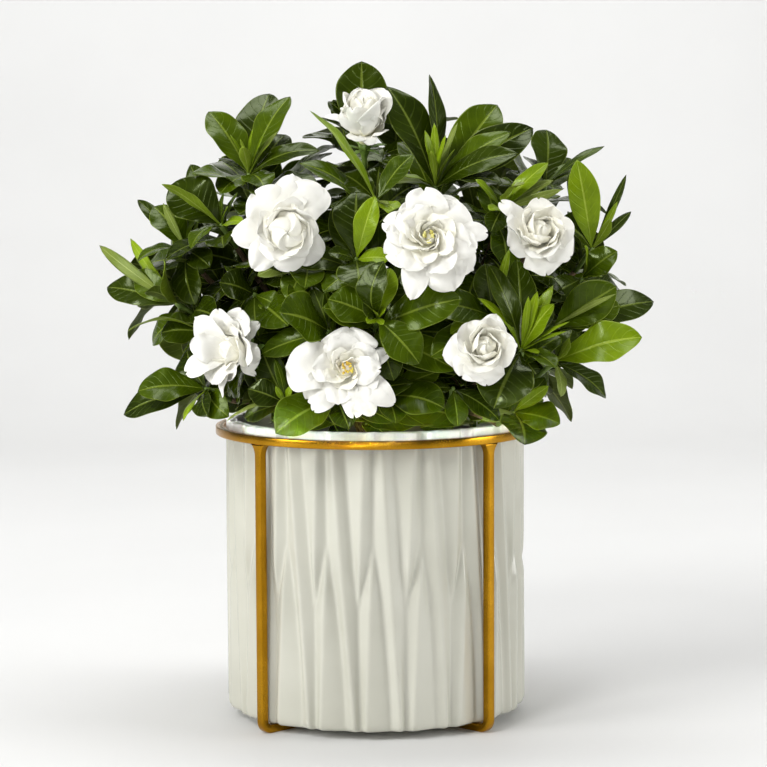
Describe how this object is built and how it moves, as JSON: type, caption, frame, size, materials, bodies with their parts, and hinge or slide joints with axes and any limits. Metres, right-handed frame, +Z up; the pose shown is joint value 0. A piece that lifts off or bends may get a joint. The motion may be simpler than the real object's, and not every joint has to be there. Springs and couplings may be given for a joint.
{
  "type": "potted gardenia",
  "caption": "Flowering gardenia bush in a round fluted ceramic planter held by a square-bar metal stand, for rooms and patios.",
  "frame": {"origin": "on the floor under the middle of the pot, where the stand's two cross bars cross", "axes": "+Z up; -Y toward the side of the bush with the open blooms; +X to the right seen from there"},
  "size_m": [0.375, 0.3019, 0.447],
  "materials": {
    "pot_glaze": "gloss",
    "stand_gold": "satin",
    "grower_plastic": "matte",
    "potting_mix": "matte",
    "bark": "matte",
    "leaves": "gloss",
    "leaves_young": "satin",
    "petals": "satin",
    "calyx_green": "satin"
  },
  "bodies": {
    "root": {"bloom_crown": "petals", "bloom_left": "petals", "bloom_lower_middle": "petals", "bloom_lower_right": "petals", "bloom_upper_left": "petals", "bloom_upper_middle": "petals", "bloom_upper_right": "petals", "calyx_crown": "calyx_green", "calyx_left": "calyx_green", "calyx_lower_middle": "calyx_green", "calyx_lower_right": "calyx_green", "calyx_upper_left": "calyx_green", "calyx_upper_middle": "calyx_green", "calyx_upper_right": "calyx_green", "ceramic_pot": "pot_glaze", "grower_pot": "grower_plastic", "potting_mix": "potting_mix", "shoot_centre": "leaves", "shoot_centre_left": "leaves", "shoot_centre_right": "leaves", "shoot_centre_up": "leaves", "shoot_crown_back": "leaves", "shoot_crown_front": "leaves_young", "shoot_crown_right": "leaves", "shoot_far_left": "leaves", "shoot_far_low_left": "leaves", "shoot_far_low_middle": "leaves", "shoot_far_low_right": "leaves", "shoot_far_middle_left": "leaves", "shoot_far_middle_right": "leaves", "shoot_far_right": "leaves", "shoot_far_top": "leaves", "shoot_far_upper_left": "leaves", "shoot_far_upper_right": "leaves", "shoot_left": "leaves_young", "shoot_left_front": "leaves", "shoot_left_low": "leaves", "shoot_left_middle": "leaves", "shoot_left_shoulder": "leaves", "shoot_left_upper": "leaves", "shoot_low_front": "leaves", "shoot_low_middle": "leaves", "shoot_low_right": "leaves", "shoot_lower_left": "leaves", "shoot_right_foot": "leaves", "shoot_right_front": "leaves_young", "shoot_right_leaf": "leaves", "shoot_right_low": "leaves_young", "shoot_right_middle": "leaves", "shoot_right_tall": "leaves_young", "shoot_right_upper": "leaves", "shoot_top_left": "leaves", "shoot_under_bloom": "leaves", "shoot_upper_right": "leaves", "stand_legs": "stand_gold", "stand_ring": "stand_gold", "woody_stems": "bark"}
  },
  "joints": []
}
